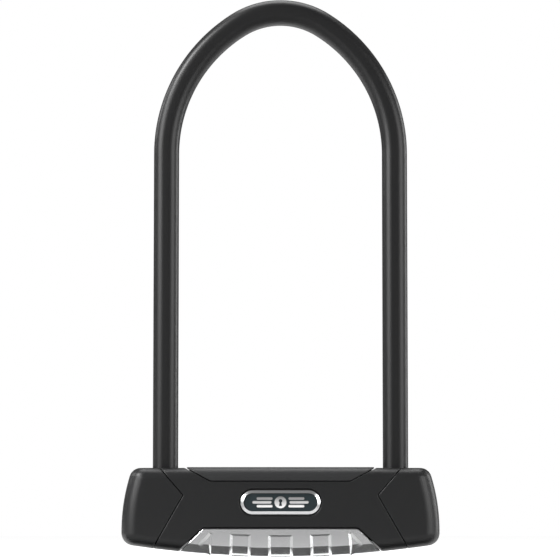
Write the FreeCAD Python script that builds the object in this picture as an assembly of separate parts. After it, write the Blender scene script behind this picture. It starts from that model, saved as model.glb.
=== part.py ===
"""Bicycle U lock: a parabolic shackle held at both feet by bolts in an armoured crossbar.

Row frame, millimetres: origin under the middle of the crossbar, +X along the crossbar,
-Y out of the badged front, +Z up the shackle. The lock is drawn closed and unlocked:
the shackle is home and both bolts are drawn back, clear of its notches.
"""
import FreeCAD, Part
import math
import os

# ---- driving dimensions -------------------------------------------------------------
GAP_INSIDE = 108.0          # clear width between the coated legs
LEG_W = 13.3                # coated leg, across its flats
COAT_T = 0.7                # soft coat on the steel
LEG_CORNER_R = 5.4          # rounded corners of the coated leg
LEG_X = (GAP_INSIDE + LEG_W) / 2
FOOT_Z = 18.5               # underside of the steel feet
ARCH_TOP_Z = 292.3          # centreline at the top of the arch
ARCH_R_TOP = 42.1           # centreline radius over the crown
ARCH_R_SIDE = 82.1          # centreline radius of each flank

BODY_HALF_D = 19.0          # crossbar, half its depth
BODY_TOP_Z = 49.1
SADDLE_TOP_Z = 49.5
BODY_HALF_W = 83.1          # at the widest level of the ends
WIDEST_Z = 16.5
END_ARC_R = 98.0            # slight bulge of each end, seen from the front
BELLY_R = 522.0             # long arc under the crossbar
BELLY_Z = 2.95              # lowest point of the covers' arc, at the middle
END_R, TOP_R, BOTTOM_R = 8.0, 6.0, 6.6

CASE_HALF_W, CASE_HALF_D, CASE_Z0, CASE_Z1 = 73.0, 16.0, 11.0, 44.5
CASE_WALL, CASE_EDGE_R = 3.0, 3.0
FIT = 0.1                   # general assembly clearance
COVER_FIT = 0.25            # plastic covers over the steel case
SEAM = 0.35                 # width of the seams between covers
SPLIT = 0.1                 # gap between the front and the rear cover
INSERT_GAP = 0.8            # shadow gap round the grip insert
LAP = 1.5                   # hidden shoulders that lap under the covers across a seam
LAP_HALF_D = 10.0
LAP_SKIN = 1.1              # cover left outside a shoulder
SEAM_EDGE_R = 0.4           # softened edges along the seams
FAR = 120.0                 # well outside the crossbar

BOLT_STROKE = 5.5
PIN_R, PIN_START_R = 1.6, 4.0   # cam pins of the bolts, and their radius when drawn back
SLOT_CLEAR, SLOT_OVERRUN = 0.12, 0.04   # slot beyond the pin: sideways mm, endways radians
CAM_R, CAM_Z0, CAM_Z1 = 12.6, 30.2, 35.4
SLOT_DEPTH = 3.5
KEY_TURN = math.pi / 2

CORE_R, HOUSING_R = 7.0, 9.5
CORE_Z0, CORE_Z1 = 10.0, 28.6
N_DISCS, DISC_T, DISC_PITCH, DISC_R = 8, 1.3, 1.75, 5.2

V = FreeCAD.Vector
X_AXIS, Y_AXIS, Z_AXIS = V(1, 0, 0), V(0, 1, 0), V(0, 0, 1)


# ---- small shape tools --------------------------------------------------------------
def block(x0, x1, y0, y1, z0, z1):
    """A box between two corners."""
    return Part.makeBox(x1 - x0, y1 - y0, z1 - z0, V(x0, y0, z0))


def post(radius, z0, z1, x=0.0, y=0.0):
    """A cylinder standing along Z."""
    return Part.makeCylinder(radius, z1 - z0, V(x, y, z0), Z_AXIS)


def rounded_outline(corners, place):
    """A closed wire through (u, v, radius) corners, each rounded by its tangent arc."""
    count = len(corners)
    edges, ends = [], []
    for i, (u, v, r) in enumerate(corners):
        here = V(u, v, 0)
        before = V(corners[i - 1][0], corners[i - 1][1], 0)
        after = V(corners[(i + 1) % count][0], corners[(i + 1) % count][1], 0)
        a, b = (before - here).normalize(), (after - here).normalize()
        if r <= 0:
            ends.append((here, None, here))
            continue
        half = a.getAngle(b) / 2
        reach = r / math.tan(half)
        middle = (a + b).normalize() * (r / math.sin(half) - r)
        ends.append((here + a * reach, here + middle, here + b * reach))
    for i, (start, mid, stop) in enumerate(ends):
        if mid is not None:
            edges.append(Part.Arc(place(start), place(mid), place(stop)).toShape())
        following = ends[(i + 1) % count][0]
        edges.append(Part.LineSegment(place(stop), place(following)).toShape())
    return Part.Wire(edges)


def plate_xz(corners, y0, y1):
    """A prism along Y from an outline in X and Z."""
    wire = rounded_outline(corners, lambda p: V(p.x, y0, p.y))
    return Part.Face(wire).extrude(V(0, y1 - y0, 0))


def plate_xy(corners, z0, z1):
    """A prism along Z from an outline in X and Y."""
    wire = rounded_outline(corners, lambda p: V(p.x, p.y, z0))
    return Part.Face(wire).extrude(V(0, 0, z1 - z0))


def square_bar(x, half, corner_r, z0, z1):
    """A rounded square bar standing at (x, 0)."""
    corners = [(x - half, -half, corner_r), (x + half, -half, corner_r),
               (x + half, half, corner_r), (x - half, half, corner_r)]
    return plate_xy(corners, z0, z1)


def mirrored(shape):
    """The same shape on the other side of X = 0."""
    return shape.mirror(V(0, 0, 0), X_AXIS)


def mirror_corners(half):
    """Corners of a symmetric outline, from those of its right half, top to bottom."""
    return half + [(-u, v, r) for u, v, r in reversed(half)]


def save(name, shape):
    """One STEP file for one node."""
    clean = shape.removeSplitter()
    solids = clean.Solids
    result = solids[0] if len(solids) == 1 else Part.makeCompound(solids)
    if not result.isValid() or any(s.Volume <= 0 for s in solids):
        raise ValueError(f"{name} is not a sound solid")
    result.exportStep(f"parts/{name}.step")


# ---- crossbar outer form and seams --------------------------------------------------
def end_x(z):
    """Half width of the crossbar's silhouette at a height, before its corners are rounded."""
    return BODY_HALF_W - END_ARC_R + math.sqrt(END_ARC_R ** 2 - (z - WIDEST_Z) ** 2)


def belly_z(x):
    """Height of the long arc under the crossbar."""
    return BELLY_Z + BELLY_R - math.sqrt(BELLY_R ** 2 - x ** 2)


def crossbar_form(top_z):
    """The crossbar as one solid lump with soft edges; the covers are cut from it."""
    low_x = end_x(belly_z(BODY_HALF_W))
    low_z = belly_z(low_x)
    high_x = end_x(top_z)
    mid_z = (low_z + top_z) / 2
    y = -BODY_HALF_D
    edges = [
        Part.LineSegment(V(-high_x, y, top_z), V(high_x, y, top_z)).toShape(),
        Part.Arc(V(high_x, y, top_z), V(end_x(mid_z), y, mid_z), V(low_x, y, low_z)).toShape(),
        Part.Arc(V(low_x, y, low_z), V(0, y, BELLY_Z), V(-low_x, y, low_z)).toShape(),
        Part.Arc(V(-low_x, y, low_z), V(-end_x(mid_z), y, mid_z), V(-high_x, y, top_z)).toShape(),
    ]
    lump = Part.Face(Part.Wire(edges)).extrude(V(0, 2 * BODY_HALF_D, 0))
    corners = [e for e in lump.Edges if on_face(e, V(0, 1, 0)) and is_end_edge(e, low_z, top_z)]
    lump = lump.makeFillet(END_R, corners)
    lump = lump.makeFillet(TOP_R, rim_edges(lump, lambda b: b.ZMin > top_z - 0.01))
    return lump.makeFillet(BOTTOM_R, rim_edges(lump, lambda b: b.ZMax < low_z + 0.01))


def on_face(edge, normal):
    """True for an edge that lies in the front or the back plane."""
    box = edge.BoundBox
    return box.YLength < 0.01 and abs(abs(box.Center.dot(normal)) - BODY_HALF_D) < 0.01


def is_end_edge(edge, low_z, high_z):
    """True for an edge that runs from the belly to the top at one end."""
    box = edge.BoundBox
    return box.ZMin < low_z + 0.1 and box.ZMax > high_z - 0.1


def rim_edges(lump, test):
    """Edges of the lump whose bounding box passes a test."""
    return [e for e in lump.Edges if test(e.BoundBox)]


CHEVRON_TOP_X, CHEVRON_X, CHEVRON_Z = 63.2, 50.7, 34.8
CHEVRON_FOOT_X, CHEVRON_FOOT_Z = 66.4, 7.3
SADDLE_TOP_X, SADDLE_X, SADDLE_Z = 49.8, 36.5, 42.1
INSERT_X, INSERT_Z, INSERT_FOOT_X, INSERT_FOOT_Z = 40.3, 17.4, 53.2, 5.0
INSERT_TIP_X = 54.3
SEAM_CORNER_R, INSERT_CORNER_R = 1.5, 3.5
ZONE_TOP_Z, ZONE_LOW_Z = BODY_TOP_Z + 15.0, -10.0


def beyond(x0, z0, x1, z1, z):
    """X where the line through two points reaches a height."""
    return x0 + (x1 - x0) * (z - z0) / (z1 - z0)


def grown(corners, grow):
    """A clockwise outline with every side moved outward by a distance."""
    count = len(corners)
    moved = []
    for i, (u, v, r) in enumerate(corners):
        here = V(u, v, 0)
        before = V(corners[i - 1][0], corners[i - 1][1], 0)
        after = V(corners[(i + 1) % count][0], corners[(i + 1) % count][1], 0)
        arriving, leaving = (here - before).normalize(), (after - here).normalize()
        a, b = V(-arriving.y, arriving.x, 0), V(-leaving.y, leaving.x, 0)
        shift = (a + b) * (grow / (1 + a.dot(b)))
        moved.append((u + shift.x, v + shift.y, r))
    return moved


def cap_zone(grow):
    """Everything outboard of the right chevron seam, grown past it by a gap."""
    top_x = beyond(CHEVRON_X, CHEVRON_Z, CHEVRON_TOP_X, BODY_TOP_Z, ZONE_TOP_Z)
    foot_x = beyond(CHEVRON_X, CHEVRON_Z, CHEVRON_FOOT_X, CHEVRON_FOOT_Z, ZONE_LOW_Z)
    corners = [(FAR, ZONE_TOP_Z, 0), (FAR, ZONE_LOW_Z, 0), (foot_x, ZONE_LOW_Z, 0),
               (CHEVRON_X, CHEVRON_Z, SEAM_CORNER_R), (top_x, ZONE_TOP_Z, 0)]
    return plate_xz(grown(corners, grow), -FAR, FAR)


def saddle_zone(grow):
    """The trapezoid over the middle of the crossbar's top."""
    top_x = beyond(SADDLE_X, SADDLE_Z, SADDLE_TOP_X, BODY_TOP_Z, ZONE_TOP_Z)
    half = [(top_x, ZONE_TOP_Z, 0), (SADDLE_X, SADDLE_Z, SEAM_CORNER_R)]
    return plate_xz(grown(mirror_corners(half), grow), -FAR, FAR)


def insert_zone(grow):
    """The trapezoid that the ribbed grip insert fills under the crossbar."""
    foot_x = beyond(INSERT_X, INSERT_Z, INSERT_FOOT_X, INSERT_FOOT_Z, ZONE_LOW_Z)
    half = [(INSERT_X, INSERT_Z, INSERT_CORNER_R), (foot_x, ZONE_LOW_Z, 0)]
    return plate_xz(grown(mirror_corners(half), grow), -FAR, FAR)


def belly_band(z0, z1):
    """A slab that follows the belly arc between two heights at the middle."""
    outer = Part.makeCylinder(BELLY_R - z0, 2 * FAR, V(0, -FAR, BELLY_R), Y_AXIS)
    inner = Part.makeCylinder(BELLY_R - z1, 2 * FAR, V(0, -FAR, BELLY_R), Y_AXIS)
    return outer.cut(inner).common(block(-FAR, FAR, -FAR, FAR, -20, 40))


def saddle_lap(grow):
    """The saddle's shoulders, which lap under both covers and close the seam to light."""
    depth = LAP_HALF_D + grow
    limit = block(-FAR, FAR, -depth, depth, CASE_Z1 - 1, BODY_TOP_Z - LAP_SKIN + grow)
    return saddle_zone(LAP + grow).common(limit)


def insert_lap(grow):
    """The insert's shoulders, which lap over the covers' bellies and close the gap to light."""
    depth = LAP_HALF_D + grow
    band = belly_band(BELLY_Z + LAP_SKIN - grow, CASE_Z0 + 1)
    limit = block(-FAR, FAR, -depth, depth, -5, CASE_Z0 + 1)
    return insert_zone(INSERT_GAP + LAP + grow).common(band).common(limit)


def case_space(grow):
    """The steel case's outer box, grown by a clearance."""
    w, d = CASE_HALF_W + grow, CASE_HALF_D + grow
    return block(-w, w, -d, d, CASE_Z0 - grow, CASE_Z1 + grow)


def leg_holes(half, corner_r, z0, z1):
    """Two rounded square holes on the leg centres."""
    one = square_bar(LEG_X, half, corner_r, z0, z1)
    return one.fuse(mirrored(one))


def soften(shape, test, radius):
    """Rounds the edges whose bounding box passes a test."""
    return shape.makeFillet(radius, rim_edges(shape, test))


def soften_seams(shape, zones, radius=SEAM_EDGE_R):
    """Rounds the sharp edges that were left along the skins of the given zones."""
    edges = []
    for edge in shape.Edges:
        middle = edge.valueAt((edge.FirstParameter + edge.LastParameter) / 2)
        if min(zone.Shells[0].distToShape(Part.Vertex(middle))[0] for zone in zones) > 0.001:
            continue
        faces = shape.ancestorsOfType(edge, Part.Face)
        normals = [face.normalAt(*face.Surface.parameter(middle)) for face in faces]
        if normals[0].getAngle(normals[1]) > 0.2:
            edges.append(edge)
    return shape.makeFillet(radius, edges)


# ---- shackle ------------------------------------------------------------------------
def arch_points():
    """Start of the arch and where its flank meets its crown, on the right."""
    sine = (ARCH_R_SIDE - LEG_X) / (ARCH_R_SIDE - ARCH_R_TOP)
    crown = math.asin(sine)
    crown_z = ARCH_TOP_Z - ARCH_R_TOP
    flank_z = crown_z - (ARCH_R_SIDE - ARCH_R_TOP) * math.cos(crown)
    return crown, crown_z, flank_z


def shackle_path(z0):
    """The centreline from one leg to the other, starting at a height."""
    crown, crown_z, flank_z = arch_points()
    flank_x = LEG_X - ARCH_R_SIDE
    half_turn = (math.pi / 2 + crown) / 2
    shoulder = V(ARCH_R_TOP * math.sin(crown), 0, crown_z + ARCH_R_TOP * math.cos(crown))
    flank = V(flank_x + ARCH_R_SIDE * math.sin(half_turn), 0,
              flank_z + ARCH_R_SIDE * math.cos(half_turn))
    spring = V(LEG_X, 0, flank_z)
    other = [V(-p.x, 0, p.z) for p in (shoulder, flank, spring)]
    edges = [
        Part.LineSegment(V(LEG_X, 0, z0), spring).toShape(),
        Part.Arc(spring, flank, shoulder).toShape(),
        Part.Arc(shoulder, V(0, 0, ARCH_TOP_Z), other[0]).toShape(),
        Part.Arc(other[0], other[1], other[2]).toShape(),
        Part.LineSegment(other[2], V(-LEG_X, 0, z0)).toShape(),
    ]
    return Part.Wire(edges)


def bar_along(path, half, corner_r, z0):
    """A rounded square section swept along the shackle's centreline."""
    corners = [(-half, -half, corner_r), (half, -half, corner_r),
               (half, half, corner_r), (-half, half, corner_r)]
    section = rounded_outline(corners, lambda p: V(LEG_X + p.x, p.y, z0))
    swept = path.makePipeShell([section], True, False)
    return swept.Solids[0] if swept.Solids else Part.Solid(swept)


STEEL_HALF = LEG_W / 2 - COAT_T
STEEL_CORNER_R = LEG_CORNER_R - COAT_T
COAT_Z0 = BODY_TOP_Z - 3.0
NOTCH_Z0, NOTCH_Z1, NOTCH_DEPTH = 30.6, 39.4, 5.0
TOE_CHAMFER = 1.2


def shackle_bar():
    """The hardened bar, with a bolt notch inboard on each foot and a chamfered toe."""
    bar = bar_along(shackle_path(FOOT_Z), STEEL_HALF, STEEL_CORNER_R, FOOT_Z)
    inner_x = LEG_X - STEEL_HALF
    notch = block(inner_x - 1, inner_x + NOTCH_DEPTH, -FAR, FAR, NOTCH_Z0, NOTCH_Z1)
    bar = bar.makeChamfer(TOE_CHAMFER, rim_edges(bar, lambda b: b.ZMax < FOOT_Z + 0.01))
    return bar.cut(notch.fuse(mirrored(notch)))


def shackle_sleeve():
    """The soft coat, from just inside one leg hole round to the other."""
    outer = bar_along(shackle_path(COAT_Z0), LEG_W / 2, LEG_CORNER_R, COAT_Z0)
    inner = bar_along(shackle_path(COAT_Z0 - 1), STEEL_HALF, STEEL_CORNER_R, COAT_Z0 - 1)
    return outer.cut(inner)


# ---- covers -------------------------------------------------------------------------
TONGUE_X0, TONGUE_X1, TONGUE_HALF_D, TONGUE_Z0 = 56.0, 70.0, 4.0, 8.0
SCREW_R, SCREW_HEAD_R, SCREW_HEAD_H = 2.0, 3.5, 2.1
SOCKET_FLOOR_Z = 15.7
LEG_HOLE_HALF = LEG_W / 2 + 0.9     # seats the rubber seal round the leg
SEAL_Z0 = BODY_TOP_Z - 3.2


def covers_cut():
    """What every cover leaves free: the case, and the seats of the leg seals."""
    seats = leg_holes(LEG_HOLE_HALF, LEG_CORNER_R + 0.9, CASE_Z1 - 1, BODY_TOP_Z + 5)
    return case_space(COVER_FIT).fuse(seats)


def tongue(grow):
    """A tab of the end cap that reaches under the case, where a screw holds it."""
    return block(TONGUE_X0 - grow, TONGUE_X1 + 6, -TONGUE_HALF_D - grow, TONGUE_HALF_D + grow,
                 TONGUE_Z0 - grow, CASE_Z0 - COVER_FIT + grow)


def end_cap(form):
    """The right end cap, back to its chevron seam, with its screw tab."""
    zone = cap_zone(-SEAM / 2)
    cap = soften_seams(form.common(zone), [zone])
    cap = cap.fuse(tongue(0.0).common(form)).cut(covers_cut())
    return cap.cut(post(SCREW_R - 0.1, TONGUE_Z0 - 1, CASE_Z0, LEG_X))


BADGE_Z, BADGE_HALF_W, BADGE_HALF_H = 31.1, 21.5, 7.2
BADGE_SEAT_Y = -BODY_HALF_D + 2.0
BADGE_SEAT_R = 0.35


def stadium(half_w, half_h, y0, y1):
    """An upright slab with round ends, centred on the badge."""
    corners = [(half_w, BADGE_Z + half_h, half_h * 0.998), (half_w, BADGE_Z - half_h, half_h * 0.998),
               (-half_w, BADGE_Z - half_h, half_h * 0.998), (-half_w, BADGE_Z + half_h, half_h * 0.998)]
    return plate_xz(corners, y0, y1)


def middle_cover(form):
    """The cover between the end caps, open for the saddle, the insert and the case."""
    cap = cap_zone(SEAM / 2)
    zones = [cap, mirrored(cap), saddle_zone(SEAM / 2), insert_zone(INSERT_GAP)]
    cover = form
    for zone in zones:
        cover = cover.cut(zone)
    cover = soften_seams(cover, zones).cut(covers_cut())
    for lap in (tongue(COVER_FIT), mirrored(tongue(COVER_FIT)), saddle_lap(COVER_FIT), insert_lap(COVER_FIT)):
        cover = cover.cut(lap)
    return cover


def front_cover(cover):
    """The front half, with the badge's seat sunk into it."""
    half = cover.common(block(-FAR, FAR, -FAR, -SPLIT / 2, -FAR, FAR))
    seat = stadium(BADGE_HALF_W, BADGE_HALF_H, -FAR, BADGE_SEAT_Y)
    return soften_seams(half.cut(seat), [stadium(BADGE_HALF_W, BADGE_HALF_H, -BODY_HALF_D, BADGE_SEAT_Y)],
                        BADGE_SEAT_R)


def rear_cover(cover):
    """The rear half."""
    return cover.common(block(-FAR, FAR, SPLIT / 2, FAR, -FAR, FAR))


def top_saddle():
    """The raised strip between the legs, with a flange down the front and the back."""
    zone = saddle_zone(-SEAM / 2)
    saddle = soften_seams(crossbar_form(SADDLE_TOP_Z).common(zone), [zone])
    return saddle.fuse(saddle_lap(0.0)).cut(covers_cut())


def leg_seal():
    """A rubber collar between the coated leg and the covers."""
    outer = square_bar(LEG_X, LEG_HOLE_HALF - 0.1, LEG_CORNER_R + 0.8, SEAL_Z0, BODY_TOP_Z - 0.5)
    inner = square_bar(LEG_X, LEG_W / 2 + 0.1, LEG_CORNER_R + 0.1, SEAL_Z0 - 1, BODY_TOP_Z + 1)
    return outer.cut(inner)


# ---- grip insert, keyway rail and shutter -------------------------------------------
FACE_LINE = [(-19.2, 25.4), (-18.5, 7.48), (-14.2, 3.15), (-9.5, 0.4), (-8.0, 0.0)]
KEEL_R = 380.0              # tighter arc that trims the lowest surfaces towards both ends
POCKET_TOP_Z, POCKET_DEPTH, POCKET_END_Y = 14.1, 1.0, -11.2
POCKET_BEVEL, POCKET_TOP_BEVEL, POCKET_END_BEVEL = 1.5, 0.9, 1.2
CENTRE_POCKET_X, SIDE_POCKET_X0, SIDE_POCKET_X1, TOE_POCKET_X = 6.5, 15.8, 26.85, 36.4
TOE_EDGE_TOP_X, TOE_EDGE_FOOT_X, TOE_EDGE_FOOT_Z = 39.0, 47.2, 6.0
RAIL_HALF_L, RAIL_HALF_D, RAIL_T = 46.0, 9.0, 2.6
SHUTTER_HALF_L, SHUTTER_HALF_D, SHUTTER_T = 8.2, 7.0, 1.3
SHUTTER_TRAVEL = 14.5
SHUTTER_Z0 = 1.0            # floor of the channel the shutter slides on
PAD_HALF_L, PAD_HALF_D, PAD_Z0 = 6.6, 5.8, 0.5
KEY_HOLE_R = 5.5


def insert_form():
    """The insert's section, face and chamfer and belly, spun along the belly arc."""
    points = FACE_LINE + [(-y, z) for y, z in reversed(FACE_LINE)]
    centre = V(0, 0, BELLY_R)
    face = Part.Face(Part.makePolygon([V(0, y, z) for y, z in points + points[:1]]))
    face.rotate(centre, Y_AXIS, -8)
    return face.revolve(centre, Y_AXIS, 16)


def keel():
    """Everything above the tighter arc along the lowest surfaces."""
    return Part.makeCylinder(KEEL_R, 2 * FAR, V(0, -FAR, KEEL_R), Y_AXIS)


def sunk_line(depth):
    """The insert's face, chamfer and belly lines, moved inward by a depth."""
    normals = []
    for (y0, z0), (y1, z1) in zip(FACE_LINE[:3], FACE_LINE[1:4]):
        normals.append(V(0, z0 - z1, y1 - y0).normalize())
    corners = []
    for i in (1, 2):
        mitre = (normals[i - 1] + normals[i]).normalize()
        y, z = FACE_LINE[i]
        corners.append(V(0, y, z) + mitre * (depth / mitre.dot(normals[i])))
    z_top = POCKET_TOP_Z - POCKET_TOP_BEVEL * depth / POCKET_DEPTH
    y_end = POCKET_END_Y - POCKET_END_BEVEL * depth / POCKET_DEPTH
    up = V(0, FACE_LINE[0][0] - FACE_LINE[1][0], FACE_LINE[0][1] - FACE_LINE[1][1])
    on = V(0, FACE_LINE[3][0] - FACE_LINE[2][0], FACE_LINE[3][1] - FACE_LINE[2][1])
    top = corners[0] + up * ((z_top - corners[0].z) / up.z)
    end = corners[1] + on * ((y_end - corners[1].y) / on.y)
    return [top] + corners + [end]


def pocket(x0, x1):
    """A cutter for one front recess with sloping walls, laid on the belly arc."""
    middle, half = (x0 + x1) / 2, (x1 - x0) / 2
    outside = -0.3 * POCKET_DEPTH
    wide = half - POCKET_BEVEL * outside / POCKET_DEPTH
    narrow = half - POCKET_BEVEL
    wires = []
    for x, depth in ((-wide, outside), (-narrow, POCKET_DEPTH), (narrow, POCKET_DEPTH), (wide, outside)):
        points = sunk_line(depth) + list(reversed(sunk_line(-3.0)))
        wires.append(Part.makePolygon([V(x, p.y, p.z) for p in points + points[:1]]))
    cutter = Part.makeLoft(wires, True, True)
    lean = math.degrees(math.asin(middle / BELLY_R))
    cutter.rotate(V(0, 0, BELLY_R), Y_AXIS, -lean)
    return cutter


def toe_limit():
    """Everything inboard of the sloping wall that closes the outermost recess."""
    start = V(TOE_EDGE_TOP_X, -BODY_HALF_D, POCKET_TOP_Z)
    along = V(TOE_EDGE_FOOT_X, -BODY_HALF_D, TOE_EDGE_FOOT_Z) - start
    along = along.normalize() * 40
    inboard = V(along.z, 0, -along.x).normalize()
    into = (V(0, POCKET_DEPTH, 0) + inboard * POCKET_BEVEL) * 8
    corners = [start - along - into, start + along - into, start + along + into, start - along + into]
    return Part.Face(Part.makePolygon(corners + corners[:1])).extrude(inboard * 60)


def grip_insert():
    """The silver insert: a saddle under the crossbar with five recesses front and back."""
    zone = insert_zone(0.0)
    insert = soften_seams(insert_form().common(zone), [zone], 0.5)
    insert = insert.common(block(-INSERT_TIP_X, INSERT_TIP_X, -FAR, FAR, -5, FAR)).common(keel())
    side = pocket(SIDE_POCKET_X0, SIDE_POCKET_X1)
    toe = pocket(TOE_POCKET_X, TOE_POCKET_X + 24).common(toe_limit())
    pockets = [pocket(-CENTRE_POCKET_X, CENTRE_POCKET_X), side, toe, mirrored(side), mirrored(toe)]
    for cutter in pockets:
        insert = insert.cut(cutter).cut(cutter.mirror(V(0, 0, 0), Y_AXIS))
    insert = insert.fuse(insert_lap(0.0))
    seat = block(-RAIL_HALF_L - FIT, RAIL_HALF_L + FIT, -RAIL_HALF_D - FIT, RAIL_HALF_D + FIT, -5, 20)
    insert = insert.cut(seat.common(belly_band(-5.0, RAIL_T + FIT)))
    return insert.cut(case_space(COVER_FIT)).cut(post(HOUSING_R + 0.3, 0, CASE_Z0))


def travel_slot(half_l, half_d, corner_r, grow, z0, z1):
    """The space a rounded plate needs from its shut place to its open one."""
    x0, x1, d = -half_l - grow, half_l + SHUTTER_TRAVEL + grow, half_d + grow
    corners = [(x0, -d, corner_r), (x1, -d, corner_r), (x1, d, corner_r), (x0, d, corner_r)]
    return plate_xy(corners, z0, z1)


def keyway_rail():
    """The smooth strip along the belly, with the keyhole and the shutter's channel."""
    corners = mirror_corners([(RAIL_HALF_L, RAIL_HALF_D, 3.0), (RAIL_HALF_L, -RAIL_HALF_D, 3.0)])
    rail = plate_xy(corners, -5, 20).common(belly_band(0.0, RAIL_T)).common(keel())
    rail = rail.cut(travel_slot(SHUTTER_HALF_L, SHUTTER_HALF_D, 1.0, 0.15, SHUTTER_Z0, 20))
    return rail.cut(travel_slot(PAD_HALF_L, PAD_HALF_D, 2.0, 0.35, -5, 20))


def keyhole_shutter():
    """The sliding dust shutter, with a ribbed thumb pad in the rail's mouth."""
    half_l, half_d = SHUTTER_HALF_L, SHUTTER_HALF_D
    plate = plate_xy(mirror_corners([(half_l, half_d, 0.9), (half_l, -half_d, 0.9)]),
                     SHUTTER_Z0 + 0.05, SHUTTER_Z0 + SHUTTER_T)
    pad = plate_xy(mirror_corners([(PAD_HALF_L, PAD_HALF_D, 1.8), (PAD_HALF_L, -PAD_HALF_D, 1.8)]),
                   PAD_Z0, SHUTTER_Z0 + 0.2)
    shutter = plate.fuse(pad)
    for i in range(5):
        x = 2.2 * (i - 2)
        shutter = shutter.cut(block(x - 0.4, x + 0.4, -4.2, 4.2, -1, PAD_Z0 + 0.35))
    return shutter


# ---- badge --------------------------------------------------------------------------
FRAME_HALF_W, FRAME_HALF_H, FRAME_BAND = 20.75, 6.2, 1.65
EMBLEM_R, EMBLEM_ROW, EMBLEM_BAR_T, EMBLEM_TIP_X = 3.1, 2.0, 1.3, 14.6


def badge_frame():
    """The bright oval frame, softened on its outer edges."""
    y0 = -BODY_HALF_D + 0.05
    ring = stadium(FRAME_HALF_W, FRAME_HALF_H, y0, BADGE_SEAT_Y)
    ring = soften(ring, lambda b: b.YMax < y0 + 0.01, 0.6)
    return ring.cut(stadium(FRAME_HALF_W - FRAME_BAND, FRAME_HALF_H - FRAME_BAND, -FAR, FAR))


def badge_plate():
    """The dark field inside the frame."""
    inset = FRAME_BAND + 0.03
    return stadium(FRAME_HALF_W - inset, FRAME_HALF_H - inset, -BODY_HALF_D + 1.0, BADGE_SEAT_Y)


def badge_emblem():
    """A plain raised disc with a keyhole through it, and three level bars on either side."""
    y0, y1 = -BODY_HALF_D + 0.5, -BODY_HALF_D + 1.0
    eye_z, foot_z = BADGE_Z + 0.75, BADGE_Z - 1.9
    disc = Part.makeCylinder(EMBLEM_R, y1 - y0, V(0, y0, BADGE_Z), Y_AXIS)
    disc = disc.cut(Part.makeCylinder(0.95, 2, V(0, y0 - 1, eye_z), Y_AXIS))
    disc = disc.cut(plate_xz(mirror_corners([(0.35, eye_z, 0), (0.8, foot_z, 0.2)]), y0 - 1, y1))
    shapes = [disc]
    for row in (-1, 0, 1):
        z = BADGE_Z + row * EMBLEM_ROW
        x0 = EMBLEM_R + 1.6 - 0.55 * abs(row)
        x1 = EMBLEM_TIP_X - 2.2 * abs(row)
        half = EMBLEM_BAR_T / 2
        bar = plate_xz([(x0, z - half, half * 0.9), (x1, z - half, half * 0.9),
                        (x1, z + half, half * 0.9), (x0, z + half, half * 0.9)], y0, y1)
        shapes += [bar, mirrored(bar)]
    return Part.makeCompound(shapes)


# ---- steel case ---------------------------------------------------------------------
CAVITY_HALF_D = CASE_HALF_D - CASE_WALL
CAVITY_Z0, CAVITY_Z1 = CASE_Z0 + CASE_WALL, CASE_Z1 - CASE_WALL
PLUG_T = 3.0
PLUG_PIN_R, PLUG_PIN_L = 1.1, 6.0


def lock_case():
    """The hardened tube that carries everything, open at both ends for its plugs."""
    tube = soften(case_space(0.0), lambda b: b.XLength > 100, CASE_EDGE_R)
    tube = tube.cut(block(-FAR, FAR, -CAVITY_HALF_D, CAVITY_HALF_D, CAVITY_Z0, CAVITY_Z1))
    tube = tube.cut(leg_holes(STEEL_HALF + 0.3, STEEL_CORNER_R + 0.3, CAVITY_Z1 - 1, CASE_Z1 + 1))
    tube = tube.cut(post(HOUSING_R + 0.05, CASE_Z0 - 1, CAVITY_Z0 + 1))
    for side in (-1, 1):
        tube = tube.cut(post(SCREW_R + 0.2, CASE_Z0 - 1, CAVITY_Z0 + 1, side * LEG_X))
    for pin in plug_pin_set():
        tube = tube.cut(pin)
    return tube.cut(lock_pin(0.0))


def end_plug():
    """The right plate that closes the case, pinned through the case's walls."""
    plug = block(CASE_HALF_W - PLUG_T, CASE_HALF_W, -CAVITY_HALF_D + 0.05, CAVITY_HALF_D - 0.05,
                 CAVITY_Z0 + 0.05, CAVITY_Z1 - 0.05)
    for pin in plug_pin_set():
        plug = plug.cut(pin)
    return plug


def plug_pin_set():
    """Four short pins, two to a plug, along Y."""
    pins = []
    for side in (-1, 1):
        for y0 in (-CASE_HALF_D, CASE_HALF_D - PLUG_PIN_L):
            foot = V(side * (CASE_HALF_W - PLUG_T / 2), y0, (CASE_Z0 + CASE_Z1) / 2)
            pins.append(Part.makeCylinder(PLUG_PIN_R, PLUG_PIN_L, foot, Y_AXIS))
    return pins


# ---- receivers, bolt guides and bolts -----------------------------------------------
RECEIVER_X0, RECEIVER_X1 = 51.5, CASE_HALF_W - PLUG_T - 0.1
GUIDE_X0 = 15.2
BOLT_HALF_D, BOLT_Z0, BOLT_Z1 = 6.5, 30.0, 41.2
NOSE_HALF_D, NOSE_Z0, NOSE_Z1 = 5.0, 31.0, 39.0
NOSE_TIP_X = LEG_X - STEEL_HALF - 1.0
BOLT_BLOCK_X0, BOLT_BLOCK_X1 = 16.0, 44.0
ARM_X0, ARM_Z0 = 2.0, CAM_Z1 + 0.3


def receiver():
    """The right socket block that the foot drops into, with a window for the bolt."""
    body = block(RECEIVER_X0, RECEIVER_X1, -CAVITY_HALF_D + FIT, CAVITY_HALF_D - FIT,
                 CAVITY_Z0 + 0.05, CAVITY_Z1 - 0.05)
    body = body.cut(square_bar(LEG_X, STEEL_HALF + 0.25, STEEL_CORNER_R + 0.25, SOCKET_FLOOR_Z, CASE_Z1))
    body = body.cut(nose_window(RECEIVER_X0 - 1, LEG_X))
    return body.cut(post(SCREW_R + 0.1, 0, SOCKET_FLOOR_Z + 1, LEG_X))


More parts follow.
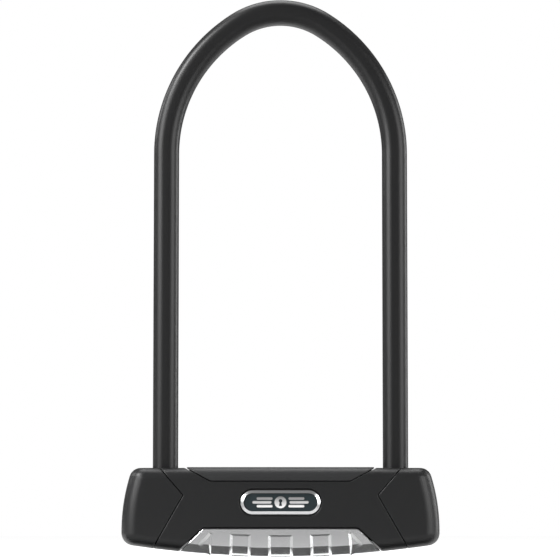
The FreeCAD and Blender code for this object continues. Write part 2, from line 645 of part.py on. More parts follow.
def nose_window(x0, x1):
    """The opening that the bolt's nose runs through."""
    return block(x0, x1, -NOSE_HALF_D - 0.15, NOSE_HALF_D + 0.15, NOSE_Z0 - 0.15, NOSE_Z1 + 0.15)


def bolt_guide():
    """The right guide: a channel for the bolt's body, lightened underneath."""
    guide = block(GUIDE_X0, RECEIVER_X0 - 0.1, -CAVITY_HALF_D + FIT, CAVITY_HALF_D - FIT,
                  CAVITY_Z0 + 0.05, CAVITY_Z1 - 0.05)
    stop_x = BOLT_BLOCK_X1 + BOLT_STROKE + 0.2
    channel = block(GUIDE_X0 - 1, stop_x, -BOLT_HALF_D - 0.15, BOLT_HALF_D + 0.15,
                    BOLT_Z0 - 0.15, CASE_Z1)
    guide = guide.cut(channel).cut(nose_window(stop_x - 1, FAR))
    for i in range(3):
        x = GUIDE_X0 + 2.4 + i * 11.4
        for y0 in (-CAVITY_HALF_D + 2.2, 1.0):
            guide = guide.cut(block(x, x + 9.4, y0, y0 + CAVITY_HALF_D - 3.2, CAVITY_Z0 - 1, BOLT_Z0 - 3))
    return guide


def bolt():
    """The right bolt: nose, body, and an arm whose pin rides in the cam's scroll slot."""
    body = block(BOLT_BLOCK_X0, BOLT_BLOCK_X1, -BOLT_HALF_D, BOLT_HALF_D, BOLT_Z0, BOLT_Z1)
    nose = block(BOLT_BLOCK_X1 - 1, NOSE_TIP_X, -NOSE_HALF_D, NOSE_HALF_D, NOSE_Z0, NOSE_Z1)
    nose = nose.makeChamfer(0.8, rim_edges(nose, lambda b: b.XMin > NOSE_TIP_X - 0.01))
    arm = block(ARM_X0, BOLT_BLOCK_X0 + 1, -5.0, 5.0, ARM_Z0, BOLT_Z1)
    pin = post(PIN_R, CAM_Z1 - SLOT_DEPTH + 0.3, ARM_Z0 + 1, PIN_START_R)
    return body.fuse(nose).fuse(arm).fuse(pin)


# ---- scroll cam ---------------------------------------------------------------------
def scroll_slot():
    """A slot whose centreline grows in radius by the bolt's stroke over the key's turn."""
    growth = BOLT_STROKE / KEY_TURN
    half_width = PIN_R + SLOT_CLEAR
    z = CAM_Z1 - SLOT_DEPTH
    steps = 12
    left, right, tips = [], [], []
    for i in range(steps + 1):
        turn = -SLOT_OVERRUN + (KEY_TURN + 2 * SLOT_OVERRUN) * i / steps
        radius = PIN_START_R + growth * turn
        outward = V(math.cos(turn), -math.sin(turn), 0)
        forward = V(-math.sin(turn), -math.cos(turn), 0)
        along = (outward * growth + forward * radius).normalize()
        middle = outward * radius + V(0, 0, z)
        across = V(-along.y, along.x, 0) * half_width
        left.append(middle + across)
        right.append(middle - across)
        if i == 0:
            tips.append(middle - along * half_width)
        if i == steps:
            tips.append(middle + along * half_width)
    left_edge, right_edge = Part.BSplineCurve(), Part.BSplineCurve()
    left_edge.interpolate(left)
    right_edge.interpolate(right)
    wire = Part.Wire([
        left_edge.toShape(),
        Part.Arc(left[-1], tips[1], right[-1]).toShape(),
        right_edge.toShape(),
        Part.Arc(right[0], tips[0], left[0]).toShape(),
    ])
    return Part.Face(wire).extrude(V(0, 0, SLOT_DEPTH + 1))


def scroll_cam():
    """The cam disc: two scroll slots on top, a journal and the core's tang socket below."""
    cam = post(CAM_R, CAM_Z0, CAM_Z1).fuse(post(HOUSING_R - 0.05, CAM_Z0 - 1.2, CAM_Z0))
    slot = scroll_slot()
    other = slot.copy()
    other.rotate(V(0, 0, 0), Z_AXIS, 180)
    cam = cam.cut(slot).cut(other)
    return cam.cut(tang(0.05))


def tang(grow):
    """The flat on top of the core that drives the cam."""
    return block(-4.0 - grow, 4.0 + grow, -1.5 - grow, 1.5 + grow, CORE_Z1 - 0.5, CAM_Z0 + 1.4 + grow)


# ---- cylinder -----------------------------------------------------------------------
HOUSING_Z0, HOUSING_Z1, HOUSING_LIP_Z = 5.6, 27.2, 7.2
CARRIER_HALF_W = GUIDE_X0 - 0.1
LOCK_PIN_X, LOCK_PIN_Z, LOCK_PIN_R = 9.8, 20.5, 1.5
SLOT_Z0, SLOT_Z1 = 11.4, 25.8
KEYWAY_R, KEYWAY_HALF_T = 3.3, 1.45


def lock_pin(grow):
    """The roll pin that keys the cylinder housing to its carrier, along Y."""
    end_y = CASE_HALF_D - 0.5
    foot = V(LOCK_PIN_X, -end_y, LOCK_PIN_Z)
    return Part.makeCylinder(LOCK_PIN_R + grow, 2 * end_y, foot, Y_AXIS)


def cylinder_carrier():
    """The block that centres the cylinder and the cam in the case."""
    carrier = block(-CARRIER_HALF_W, CARRIER_HALF_W, -CAVITY_HALF_D + FIT, CAVITY_HALF_D - FIT,
                    CAVITY_Z0 + 0.05, CAM_Z0 - 0.3)
    return carrier.cut(post(HOUSING_R + 0.05, 0, FAR)).cut(lock_pin(0.05))


def cylinder_housing():
    """The fixed barrel round the core, grooved inside for the sidebar."""
    housing = post(HOUSING_R, HOUSING_Z0, HOUSING_Z1)
    housing = housing.cut(post(CORE_R + 0.06, HOUSING_LIP_Z, HOUSING_Z1 + 1))
    housing = housing.cut(post(KEY_HOLE_R + 0.3, 0, HOUSING_LIP_Z + 1))
    housing = housing.cut(block(-1.2, 1.2, -CORE_R - 1.0, -CORE_R + 1, SLOT_Z0 - 1, HOUSING_Z1 + 1))
    return housing.cut(lock_pin(0.05))


def keyway(z0, z1):
    """The keyway's section: a disc with two flats."""
    flat = block(-KEYWAY_R, KEYWAY_R, -KEYWAY_HALF_T, KEYWAY_HALF_T, z0, z1)
    return post(KEYWAY_R, z0, z1).common(flat)


def cylinder_core():
    """The turning sleeve that holds the discs, with a tang on top for the cam."""
    core = post(CORE_R, CORE_Z0, CORE_Z1).cut(post(DISC_R + 0.1, CORE_Z0 - 1, CORE_Z1 - 1.8))
    core = core.cut(block(-CORE_R - 1, -4, -1.25, 1.25, SLOT_Z0, SLOT_Z1))
    groove = post(CORE_R + 1, HOUSING_Z1 + 0.05, HOUSING_Z1 + 0.9).cut(post(CORE_R - 0.8, 0, FAR))
    return core.cut(groove).fuse(tang(0.0).cut(block(-9, 9, -9, 9, 0, CORE_Z1 - 0.2)))


def core_clip():
    """The open ring that keeps the core in its housing."""
    ring = post(CORE_R + 1.6, HOUSING_Z1 + 0.1, HOUSING_Z1 + 0.85)
    ring = ring.cut(post(CORE_R - 0.75, 0, FAR))
    return ring.cut(block(-2.5, 2.5, 0, 20, 0, FAR))


def drill_guard():
    """The hardened front disc, turning with the core."""
    return post(CORE_R - 0.05, HOUSING_LIP_Z + 0.1, CORE_Z0 - 0.05).cut(keyway(0, FAR))


def detainer_discs():
    """The disc pack: each disc has its true gate at the sidebar and two false ones."""
    discs = []
    for i in range(N_DISCS):
        z0 = CORE_Z0 + 1.6 + i * DISC_PITCH
        disc = post(DISC_R, z0, z0 + DISC_T).cut(keyway(0, FAR))
        disc = disc.cut(block(-DISC_R - 1, -DISC_R + 0.9, -0.9, 0.9, 0, FAR))
        for false_turn in (50 + 17 * i, 215 + 11 * i):
            gate = block(-DISC_R - 1, -DISC_R + 0.35, -0.6, 0.6, 0, FAR)
            gate.rotate(V(0, 0, 0), Z_AXIS, false_turn % 300 + 30)
            disc = disc.cut(gate)
        discs.append(disc)
    return Part.makeCompound(discs)


def disc_spacers():
    """Thin washers that keep the discs apart."""
    gap = DISC_PITCH - DISC_T
    rings = []
    for i in range(N_DISCS - 1):
        z0 = CORE_Z0 + 1.6 + i * DISC_PITCH + DISC_T + 0.02
        ring = post(DISC_R - 0.1, z0, z0 + gap - 0.04).cut(post(KEYWAY_R + 0.3, 0, FAR))
        rings.append(ring.cut(block(-DISC_R - 1, -DISC_R + 1.0, -1.0, 1.0, 0, FAR)))
    return Part.makeCompound(rings)


def sidebar():
    """The bar that has dropped into the discs' gates, flush with the core."""
    bar = block(-CORE_R + 0.15, -DISC_R + 0.05, -1.15, 1.15, SLOT_Z0 + 0.1, SLOT_Z1 - 0.1)
    toe = block(-DISC_R, -DISC_R + 0.8, -0.8, 0.8, SLOT_Z0 + 0.3, SLOT_Z1 - 0.3)
    return bar.fuse(toe)


def socket_screws():
    """Two screws at the bottom of the leg sockets, out of reach while the lock is shut."""
    screws = []
    for side in (-1, 1):
        x = side * LEG_X
        screw = post(SCREW_R - 0.15, TONGUE_Z0 + 0.2, SOCKET_FLOOR_Z + 0.5, x)
        screw = screw.fuse(post(SCREW_HEAD_R, SOCKET_FLOOR_Z, SOCKET_FLOOR_Z + SCREW_HEAD_H, x))
        hexagon = [(x + 1.45 * math.cos(a), 1.45 * math.sin(a), 0)
                   for a in (math.pi / 3 * i for i in range(6))]
        screws.append(screw.cut(plate_xy(hexagon, SOCKET_FLOOR_Z + 0.7, SOCKET_FLOOR_Z + 5)))
    return Part.makeCompound(screws)


# ---- write every node ---------------------------------------------------------------
def main():
    os.makedirs("parts", exist_ok=True)
    form = crossbar_form(BODY_TOP_Z)
    cover = middle_cover(form)
    cap, plug, socket, guide, slide, seal = (
        end_cap(form), end_plug(), receiver(), bolt_guide(), bolt(), leg_seal())
    nodes = {
        "shackle_bar": shackle_bar(),
        "shackle_sleeve": shackle_sleeve(),
        "front_cover": front_cover(cover),
        "rear_cover": rear_cover(cover),
        "top_saddle": top_saddle(),
        "grip_insert": grip_insert(),
        "keyway_rail": keyway_rail(),
        "keyhole_shutter": keyhole_shutter(),
        "badge_frame": badge_frame(),
        "badge_plate": badge_plate(),
        "badge_emblem": badge_emblem(),
        "lock_case": lock_case(),
        "plug_pins": Part.makeCompound(plug_pin_set()),
        "scroll_cam": scroll_cam(),
        "cylinder_carrier": cylinder_carrier(),
        "cylinder_housing": cylinder_housing(),
        "cylinder_core": cylinder_core(),
        "core_clip": core_clip(),
        "drill_guard": drill_guard(),
        "detainer_discs": detainer_discs(),
        "disc_spacers": disc_spacers(),
        "sidebar": sidebar(),
        "cylinder_pin": lock_pin(0.0),
        "socket_screws": socket_screws(),
    }
    pairs = {"end_cap": cap, "end_plug": plug, "receiver": socket,
             "bolt_guide": guide, "bolt": slide, "leg_seal": seal}
    for name, shape in pairs.items():
        nodes[f"right_{name}"] = shape
        nodes[f"left_{name}"] = mirrored(shape)
    for name, shape in nodes.items():
        save(name, shape)


main()
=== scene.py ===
import bpy
import math
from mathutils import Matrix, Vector


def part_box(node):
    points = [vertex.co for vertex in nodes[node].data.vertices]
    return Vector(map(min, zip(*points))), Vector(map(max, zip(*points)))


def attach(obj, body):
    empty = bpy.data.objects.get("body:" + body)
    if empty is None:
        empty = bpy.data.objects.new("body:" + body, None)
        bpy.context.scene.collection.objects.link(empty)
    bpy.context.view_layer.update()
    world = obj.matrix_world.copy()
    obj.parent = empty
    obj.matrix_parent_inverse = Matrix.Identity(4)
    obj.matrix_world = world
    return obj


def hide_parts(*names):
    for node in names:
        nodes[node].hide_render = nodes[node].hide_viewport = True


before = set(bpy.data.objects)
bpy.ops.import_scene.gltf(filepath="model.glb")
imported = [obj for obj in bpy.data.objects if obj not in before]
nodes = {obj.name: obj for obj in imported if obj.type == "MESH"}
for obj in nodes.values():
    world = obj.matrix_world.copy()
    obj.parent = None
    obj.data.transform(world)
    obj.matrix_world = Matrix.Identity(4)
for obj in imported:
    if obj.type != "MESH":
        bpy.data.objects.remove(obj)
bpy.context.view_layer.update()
MM = 0.001

# ---- studio -----------------------------------------------------------------------------
# A white seamless room. Softboxes stand left and right of the camera, with a higher one on the
# left, one behind each shoulder and one overhead; what the lock reflects of the room is dim.
CAMERA_DISTANCE, CAMERA_HEIGHT = 1.5, 0.015
CAMERA_TILT = 5.09
LENS = 182.5
FRAMING_SHIFT = 0.0009

camera = bpy.data.objects.new("camera", bpy.data.cameras.new("camera"))
bpy.context.scene.collection.objects.link(camera)
bpy.context.scene.camera = camera
camera.location = (0, -CAMERA_DISTANCE, CAMERA_HEIGHT)
camera.rotation_euler = (math.radians(90 + CAMERA_TILT), 0, 0)
camera.data.lens = LENS
camera.data.shift_x = -FRAMING_SHIFT
camera.data.shift_y = FRAMING_SHIFT
camera.data.clip_start = 0.05


def softbox(name, azimuth, distance, height, width, tall, power, aim_z=0.12):
    """A rectangular area light on a ring round the lock, facing it."""
    turn = math.radians(azimuth)
    light = bpy.data.lights.new(name, "AREA")
    light.shape = "RECTANGLE"
    light.size = width
    light.size_y = tall
    light.energy = power
    lamp = bpy.data.objects.new(name, light)
    lamp.location = (math.sin(turn) * distance, -math.cos(turn) * distance, height)
    facing = Vector((0, 0, aim_z)) - lamp.location
    lamp.rotation_euler = facing.to_track_quat("-Z", "Y").to_euler()
    bpy.context.scene.collection.objects.link(lamp)


softbox("softbox_left", -46, 1.6, 0.52, 1.10, 0.40, 12)
softbox("softbox_left_high", -58, 1.6, 1.40, 0.60, 0.60, 30)
softbox("softbox_right", 49, 1.6, 0.35, 1.10, 0.90, 11)
softbox("rim_left", -110, 1.5, 0.85, 0.50, 0.60, 5)
softbox("rim_right", 110, 1.5, 0.50, 0.50, 1.00, 8)
softbox("overhead", 180, 0.3, 1.60, 1.20, 1.00, 16)

ROOM_IN_REFLECTIONS = 0.18

world = bpy.data.worlds.new("studio")
bpy.context.scene.world = world
world.use_nodes = True
links, tree = world.node_tree.links, world.node_tree.nodes
tree.clear()
ray = tree.new("ShaderNodeLightPath")
seen = tree.new("ShaderNodeBackground")
seen.inputs["Strength"].default_value = 1.0
seen.inputs["Color"].default_value = (1, 1, 1, 1)
lit = tree.new("ShaderNodeBackground")
lit.inputs["Strength"].default_value = ROOM_IN_REFLECTIONS
lit.inputs["Color"].default_value = (1, 1, 1, 1)
either = tree.new("ShaderNodeMixShader")
out = tree.new("ShaderNodeOutputWorld")
links.new(ray.outputs["Is Camera Ray"], either.inputs["Fac"])
links.new(lit.outputs["Background"], either.inputs[1])
links.new(seen.outputs["Background"], either.inputs[2])
links.new(either.outputs["Shader"], out.inputs["Surface"])
bpy.context.scene.view_settings.view_transform = "Standard"


def pick(*objects):
    """Only these objects are selected, and the first is active."""
    bpy.ops.object.select_all(action="DESELECT")
    for each in objects:
        each.select_set(True)
    bpy.context.view_layer.objects.active = objects[0]


def flat_sheet(name, size, middle, grey, glow=0.0):
    """A flat staged square or strip, in one plain matt grey, that can glow."""
    bpy.ops.object.select_all(action="DESELECT")
    bpy.ops.mesh.primitive_plane_add(size=1, location=middle)
    sheet = bpy.context.object
    sheet.name = name
    sheet.scale = (size[0], size[1], 1)
    bpy.ops.object.transform_apply(location=True, rotation=True, scale=True)
    material = bpy.data.materials.new(name)
    material.use_nodes = True
    shader = material.node_tree.nodes["Principled BSDF"]
    shader.inputs["Base Color"].default_value = (grey, grey, grey, 1)
    shader.inputs["Roughness"].default_value = 1.0
    shader.inputs["Emission Color"].default_value = (1, 1, 1, 1)
    shader.inputs["Emission Strength"].default_value = glow
    sheet.data.materials.append(material)
    return sheet


# The floor glows a little to the camera only, so that it runs into the white behind it.
FLOOR_GLOW = 0.82
FLOOR_Z = -0.2 * MM
floor = flat_sheet("pale_floor", (30, 30), (0, 0, FLOOR_Z), 0.9)
tree, links = floor.data.materials[0].node_tree.nodes, floor.data.materials[0].node_tree.links
ray = tree.new("ShaderNodeLightPath")
glow = tree.new("ShaderNodeMath")
glow.operation = "MULTIPLY"
glow.inputs[1].default_value = FLOOR_GLOW
links.new(ray.outputs["Is Camera Ray"], glow.inputs[0])
links.new(glow.outputs["Value"], tree["Principled BSDF"].inputs["Emission Strength"])

# Four sheets lie on it and show in reflections only, as painted reflections: a grey one in front and a
# white apron darken the floor the lock reflects, a dark strip close up to the lock is painted shade from
# the lock, and a glowing white sheet under it is painted light where the floor lies in the lock's shade.
UNDER, OVER = 0.05 * MM, 0.1 * MM
for name, size, middle_y, lift, grey, glow in (
        ("painted_reflection_grey", (3.0, 1.3), -0.735, UNDER, 0.24, 0.0),
        ("painted_reflection_apron", (0.3, 0.063), -0.0535, UNDER, 0.55, 0.0),
        ("painted_shade_strip", (0.3, 0.010), -0.0185, OVER, 0.05, 0.0),
        ("painted_glow_sheet", (0.3, 0.026), -0.0005, OVER, 0.90, 0.8)):
    reflection_only_sheet = flat_sheet(name, size, (0, middle_y, FLOOR_Z + lift), grey, glow)
    reflection_only_sheet.visible_camera = False
    reflection_only_sheet.visible_diffuse = False
    reflection_only_sheet.visible_shadow = False

# ---- steel case and everything inside it --------------------------------------------------
# A hardened tube with its end plugs, the leg sockets, the bolts in their nylon guides and
# the key cylinder. They are sawn, milled and blackened, and mostly hidden by the covers.


def surface_grain():
    """Fine grain for any finish: a varied colour, a varied roughness and a bump height."""
    group = bpy.data.node_groups.new("surface_grain", "ShaderNodeTree")
    for name, kind, value in (("Scale", "Float", 400.0), ("Stretch", "Vector", (1, 1, 1)),
                              ("Base", "Color", (0.5, 0.5, 0.5, 1)), ("Vary", "Float", 0.1),
                              ("Roughness", "Float", 0.4), ("Swing", "Float", 0.1)):
        socket = group.interface.new_socket(name, in_out="INPUT", socket_type="NodeSocket" + kind)
        socket.default_value = value
    for name, kind in (("Color", "Color"), ("Roughness", "Float"), ("Height", "Float")):
        group.interface.new_socket(name, in_out="OUTPUT", socket_type="NodeSocket" + kind)
    n, l = group.nodes, group.links
    inward, outward = n.new("NodeGroupInput"), n.new("NodeGroupOutput")
    place = n.new("ShaderNodeTexCoord")
    stretch = n.new("ShaderNodeVectorMath")
    stretch.operation = "MULTIPLY"
    l.new(place.outputs["Object"], stretch.inputs[0])
    l.new(inward.outputs["Stretch"], stretch.inputs[1])
    fine = n.new("ShaderNodeTexNoise")
    fine.inputs["Detail"].default_value = 4
    l.new(stretch.outputs["Vector"], fine.inputs["Vector"])
    l.new(inward.outputs["Scale"], fine.inputs["Scale"])
    swing = n.new("ShaderNodeMath")
    swing.operation = "SUBTRACT"
    swing.inputs[1].default_value = 0.5
    l.new(fine.outputs["Fac"], swing.inputs[0])
    rough = n.new("ShaderNodeMath")
    rough.operation = "MULTIPLY_ADD"
    l.new(swing.outputs["Value"], rough.inputs[0])
    l.new(inward.outputs["Swing"], rough.inputs[1])
    l.new(inward.outputs["Roughness"], rough.inputs[2])
    l.new(rough.outputs["Value"], outward.inputs["Roughness"])
    shade = n.new("ShaderNodeMath")
    shade.operation = "MULTIPLY_ADD"
    shade.inputs[2].default_value = 1.0
    l.new(swing.outputs["Value"], shade.inputs[0])
    l.new(inward.outputs["Vary"], shade.inputs[1])
    tint = n.new("ShaderNodeVectorMath")
    tint.operation = "SCALE"
    l.new(inward.outputs["Base"], tint.inputs[0])
    l.new(shade.outputs["Value"], tint.inputs["Scale"])
    l.new(tint.outputs["Vector"], outward.inputs["Color"])
    l.new(fine.outputs["Fac"], outward.inputs["Height"])
    return group


GRAIN = surface_grain()


def finish_of(name, colour, roughness, metallic=0.0, scale=900.0, stretch=(1, 1, 1), vary=0.1, swing=0.1,
              bump=0.1, depth=0.00002, coat=0.0, coat_roughness=0.1, specular=0.5):
    """A material whose colour, roughness and bump all come from one grain."""
    material = bpy.data.materials.new(name)
    material.use_nodes = True
    n, l = material.node_tree.nodes, material.node_tree.links
    shader = n["Principled BSDF"]
    shader.inputs["Metallic"].default_value = metallic
    shader.inputs["Coat Weight"].default_value = coat
    shader.inputs["Coat Roughness"].default_value = coat_roughness
    shader.inputs["Specular IOR Level"].default_value = specular
    grain = n.new("ShaderNodeGroup")
    grain.name = "grain"
    grain.node_tree = GRAIN
    grain.inputs["Scale"].default_value = scale
    grain.inputs["Stretch"].default_value = stretch
    grain.inputs["Base"].default_value = (*colour, 1)
    grain.inputs["Vary"].default_value = vary
    grain.inputs["Roughness"].default_value = roughness
    grain.inputs["Swing"].default_value = swing
    relief = n.new("ShaderNodeBump")
    relief.inputs["Strength"].default_value = bump
    relief.inputs["Distance"].default_value = depth
    l.new(grain.outputs["Color"], shader.inputs["Base Color"])
    l.new(grain.outputs["Roughness"], shader.inputs["Roughness"])
    l.new(grain.outputs["Height"], relief.inputs["Height"])
    l.new(relief.outputs["Normal"], shader.inputs["Normal"])
    return material


def dress(thing, material):
    """One material all over."""
    thing.data.materials.clear()
    thing.data.materials.append(material)


ground_steel = finish_of("ground_steel", (0.42, 0.42, 0.43), 0.34, 1.0, 700, (1, 1, 12), 0.2, 0.2, 0.2)
black_plate = finish_of("black_plate", (0.030, 0.030, 0.032), 0.42, 0.8, 500, vary=0.25, swing=0.2,
                        bump=0.15)
brass = finish_of("machined_brass", (0.66, 0.47, 0.20), 0.28, 1.0, 600, (1, 1, 10), 0.15, 0.15, 0.15)
nylon = finish_of("natural_nylon", (0.66, 0.63, 0.55), 0.5, 0.0, 700, vary=0.08, swing=0.1)

for node in ("lock_case", "left_end_plug", "right_end_plug", "cylinder_carrier", "scroll_cam"):
    dress(nodes[node], black_plate)
for node in ("cylinder_housing", "cylinder_core", "disc_spacers"):
    dress(nodes[node], brass)
for node in ("plug_pins", "left_receiver", "right_receiver", "left_bolt", "right_bolt", "drill_guard",
             "detainer_discs", "sidebar", "core_clip", "cylinder_pin", "socket_screws"):
    dress(nodes[node], ground_steel)
for node in ("left_bolt_guide", "right_bolt_guide"):
    dress(nodes[node], nylon)

# ---- covers and end caps ------------------------------------------------------------------
# Charcoal moulded shells that close round the case: two long covers split in the plane of
# the legs, and an end cap pushed on over each end as far as its chevron seam.
WELD = 0.002 * MM
FLAT = 0.02
COVER_EDGE = 0.18 * MM


def welded_copy(node, name, body):
    """A copy of a CAD node with its loose triangles welded and its flats made whole."""
    copy = bpy.data.objects.new(name, nodes[node].data.copy())
    bpy.context.scene.collection.objects.link(copy)
    pick(copy)
    if copy.data.has_custom_normals:
        bpy.ops.mesh.customdata_custom_splitnormals_clear()
    bpy.ops.object.mode_set(mode="EDIT")
    bpy.ops.mesh.select_all(action="SELECT")
    bpy.ops.mesh.remove_doubles(threshold=WELD)
    bpy.ops.mesh.dissolve_limited(angle_limit=math.radians(FLAT))
    bpy.ops.object.mode_set(mode="OBJECT")
    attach(copy, body)
    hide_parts(node)
    return copy


def use_modifier(thing, kind, **values):
    """Adds a modifier with these values and applies it."""
    pick(thing)
    modifier = thing.modifiers.new(kind.lower(), kind)
    for key, value in values.items():
        setattr(modifier, key, value)
    bpy.ops.object.modifier_apply(modifier=modifier.name)


def smooth(thing, angle=35):
    """Smooth shading up to an angle, with the large faces kept flat."""
    pick(thing)
    bpy.ops.object.shade_smooth_by_angle(angle=math.radians(angle), keep_sharp_edges=False)
    use_modifier(thing, "WEIGHTED_NORMAL", mode="FACE_AREA", weight=60, keep_sharp=True)


charcoal = finish_of("charcoal_plastic", (0.0055, 0.0057, 0.0061), 0.40, 0.0, 2600, vary=0.15,
                     swing=0.12, bump=0.22, depth=0.00003)
for node in ("front_cover", "rear_cover", "left_end_cap", "right_end_cap"):
    cover = welded_copy(node, node + "_shell", "lock_body")
    use_modifier(cover, "BEVEL", width=COVER_EDGE, segments=2, limit_method="ANGLE",
                 angle_limit=math.radians(50))
    smooth(cover)
    dress(cover, charcoal)

# ---- top saddle ---------------------------------------------------------------------------
# The raised strip between the legs, moulded in a slightly softer plastic. Its shoulders lap under
# both covers, and its flanges come down the front and the back.
saddle_plastic = finish_of("saddle_plastic", (0.0125, 0.0128, 0.0135), 0.46, 0.0, 2600, vary=0.15,
                           swing=0.12, bump=0.22, depth=0.00003)
saddle = welded_copy("top_saddle", "top_saddle_strip", "lock_body")
smooth(saddle)
dress(saddle, saddle_plastic)

# ---- leg seals ----------------------------------------------------------------------------
# A moulded rubber collar in each leg hole, seated between the coated leg and the covers,
# keeps water out of the case.
seal_rubber = finish_of("seal_rubber", (0.012, 0.012, 0.012), 0.7, 0.0, 1500, bump=0.2)
for node in ("left_leg_seal", "right_leg_seal"):
    dress(nodes[node], seal_rubber)

# ---- grip insert --------------------------------------------------------------------------
# A moulded saddle under the crossbar, painted silver, with five recesses front and back. Its
# shoulders lap over the covers' bellies.
silver_paint = finish_of("silver_paint", (0.88, 0.885, 0.89), 0.20, 0.95, 1800, vary=0.06, swing=0.08,
                         bump=0.05)
insert = welded_copy("grip_insert", "grip_insert_shell", "lock_body")
smooth(insert, 12)
dress(insert, silver_paint)

# ---- keyway rail and shutter ----------------------------------------------------------------
# The dark strip along the belly that holds the keyhole, and the dust shutter that slides in it.
rail = welded_copy("keyway_rail", "keyway_rail_strip", "lock_body")
smooth(rail)
dress(rail, charcoal)
shutter = welded_copy("keyhole_shutter", "keyhole_shutter_plate", "keyhole_shutter")
smooth(shutter)
dress(shutter, saddle_plastic)

# ---- badge ----------------------------------------------------------------------------------
# A bright pressed frame, whose band slopes outward, round a slate plate with a plain raised
# keyhole and bars. The frame is pressed and polished; the plate is lacquered.
BADGE_BAND = 1.5 * MM
BADGE_RISE = 0.55 * MM
BADGE_EDGE = 0.15 * MM
PAINTED_REFLECTION_TOP, PAINTED_REFLECTION_LOW = 0.12, 0.75
ROUND_STEPS = 24

frame_low, frame_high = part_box("badge_frame")
badge_middle = (frame_low + frame_high) / 2
badge_half = (frame_high - frame_low) / 2
bpy.ops.object.select_all(action="DESELECT")
bpy.ops.mesh.primitive_plane_add(size=2, location=(0, frame_high.y, badge_middle.z),
                                 rotation=(math.pi / 2, 0, 0))
trim = bpy.context.object
trim.name = "badge_frame_trim"
trim.scale = (badge_half.x, badge_half.z, 1)
bpy.ops.object.transform_apply(location=True, rotation=True, scale=True)
bpy.ops.object.mode_set(mode="EDIT")
bpy.ops.mesh.select_all(action="SELECT")
bpy.ops.mesh.bevel(offset=badge_half.z * 0.998, segments=ROUND_STEPS, affect="VERTICES")
bpy.ops.mesh.select_all(action="SELECT")
bpy.ops.mesh.inset(thickness=BADGE_BAND, depth=0)
bpy.ops.mesh.delete(type="FACE")
bpy.ops.mesh.select_all(action="SELECT")
to_outer_edge = frame_low.y + BADGE_RISE - frame_high.y
bpy.ops.mesh.extrude_region_move(TRANSFORM_OT_translate={"value": (0, to_outer_edge, 0)})
bpy.ops.mesh.select_all(action="DESELECT")
bpy.ops.object.mode_set(mode="OBJECT")
straight_half = badge_half.x - badge_half.z
for corner in trim.data.vertices:
    reach = math.hypot(max(abs(corner.co.x) - straight_half, 0), corner.co.z - badge_middle.z)
    corner.select = corner.co.y < badge_middle.y and reach < badge_half.z - BADGE_BAND / 2
bpy.ops.object.mode_set(mode="EDIT")
bpy.ops.transform.translate(value=(0, -BADGE_RISE, 0))
bpy.ops.mesh.select_all(action="SELECT")
bpy.ops.mesh.normals_make_consistent(inside=False)
bpy.ops.object.mode_set(mode="OBJECT")
use_modifier(trim, "BEVEL", width=BADGE_EDGE, segments=2, limit_method="ANGLE",
             angle_limit=math.radians(30))
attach(trim, "lock_body")
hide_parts("badge_frame")

bright_trim = finish_of("bright_trim", (0.92, 0.93, 0.94), 0.22, 1.0, 900, (1, 8, 8), 0.06, 0.1, 0.06)
dress(trim, bright_trim)
slate_lacquer = finish_of("slate_lacquer", (0.014, 0.024, 0.028), 0.30, 0.2, 1200, vary=0.15, coat=0.5)
dress(nodes["badge_plate"], slate_lacquer)
# The raised marks are silver foil with a painted reflection: their colour runs from grey at the top to
# white at the bottom, as the dim room above and the white floor below would show in them.
emblem_foil_painted_reflection = finish_of("emblem_foil_painted_reflection", (0.8, 0.8, 0.8), 0.35, 0.0, 900, vary=0.06, bump=0.06)
tree, links = emblem_foil_painted_reflection.node_tree.nodes, emblem_foil_painted_reflection.node_tree.links
place, split = tree.new("ShaderNodeTexCoord"), tree.new("ShaderNodeSeparateXYZ")
emblem_low, emblem_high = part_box("badge_emblem")
reflection_fade = tree.new("ShaderNodeMapRange")
reflection_fade.inputs["From Min"].default_value = emblem_low.z
reflection_fade.inputs["From Max"].default_value = emblem_high.z
reflection_fade.inputs["To Min"].default_value = PAINTED_REFLECTION_LOW
reflection_fade.inputs["To Max"].default_value = PAINTED_REFLECTION_TOP
links.new(place.outputs["Object"], split.inputs["Vector"])
links.new(split.outputs["Z"], reflection_fade.inputs["Value"])
links.new(reflection_fade.outputs["Result"], tree["grain"].inputs["Base"])
emblem = welded_copy("badge_emblem", "badge_emblem_relief", "lock_body")
smooth(emblem)
dress(emblem, emblem_foil_painted_reflection)

# ---- shackle ----------------------------------------------------------------------------------
# A rounded square bar of hardened steel, bent to two radii, notched inboard on each foot for
# the bolts, and dipped in a soft black coat down to where the legs enter the crossbar.
bar = welded_copy("shackle_bar", "shackle_steel", "shackle")
smooth(bar)
dress(bar, ground_steel)

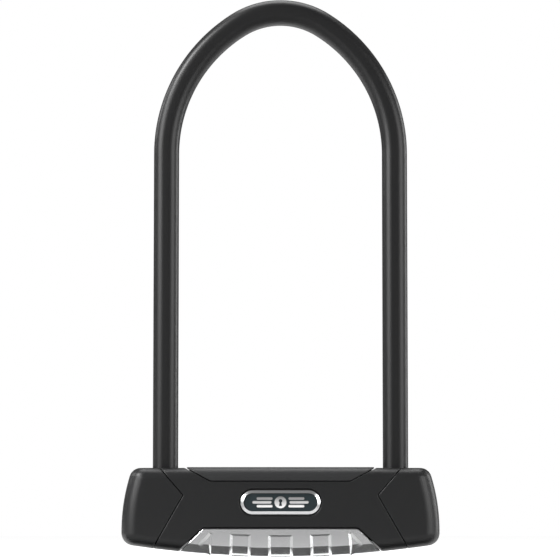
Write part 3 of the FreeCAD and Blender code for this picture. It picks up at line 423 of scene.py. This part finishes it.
COAT_T = 0.69 * MM
LEG_CORNER_R = 5.4 * MM
ARCH_R_TOP, ARCH_R_SIDE = 42.1 * MM, 82.1 * MM
CORNER_STEPS, ARC_STEPS = 8, 28
sleeve_low, sleeve_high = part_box("shackle_sleeve")
leg_half = sleeve_high.y
leg_x = sleeve_high.x - leg_half
crown_z = sleeve_high.z - leg_half - ARCH_R_TOP
crown_turn = math.asin((ARCH_R_SIDE - leg_x) / (ARCH_R_SIDE - ARCH_R_TOP))
spring_z = crown_z - (ARCH_R_SIDE - ARCH_R_TOP) * math.cos(crown_turn)
flank_turn = math.pi / 2 - crown_turn
flank_x = ARCH_R_SIDE - leg_x

bpy.ops.object.select_all(action="DESELECT")
bpy.ops.mesh.primitive_plane_add(size=2 * leg_half, location=(leg_x, 0, sleeve_low.z))
coat = bpy.context.object
coat.name = "shackle_coat"
bpy.ops.object.transform_apply(location=True, rotation=True, scale=True)
bpy.ops.object.mode_set(mode="EDIT")
bpy.ops.mesh.select_all(action="SELECT")
bpy.ops.mesh.bevel(offset=LEG_CORNER_R, segments=CORNER_STEPS, affect="VERTICES")
bpy.ops.mesh.select_all(action="SELECT")
bpy.ops.mesh.delete(type="ONLY_FACE")
bpy.ops.mesh.select_all(action="SELECT")
bpy.ops.mesh.extrude_edges_move(TRANSFORM_OT_translate={"value": (0, 0, spring_z - sleeve_low.z)})
for turn, centre in ((flank_turn, (-flank_x, 0, spring_z)), (2 * crown_turn, (0, 0, crown_z)),
                     (flank_turn, (flank_x, 0, spring_z))):
    bpy.ops.mesh.spin(steps=ARC_STEPS, angle=turn, center=centre, axis=(0, 1, 0))
bpy.ops.mesh.extrude_edges_move(TRANSFORM_OT_translate={"value": (0, 0, sleeve_low.z - spring_z)})
bpy.ops.mesh.select_all(action="SELECT")
bpy.ops.mesh.remove_doubles(threshold=WELD)
bpy.ops.mesh.normals_make_consistent(inside=False)
bpy.ops.object.mode_set(mode="OBJECT")
use_modifier(coat, "SOLIDIFY", thickness=COAT_T, offset=-1)
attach(coat, "shackle")
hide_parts("shackle_sleeve")
smooth(coat, 40)

black_coat = finish_of("black_coat", (0.0045, 0.0045, 0.0048), 0.38, 0.0, 1500, vary=0.1, swing=0.08,
                       bump=0.12)
dress(coat, black_coat)
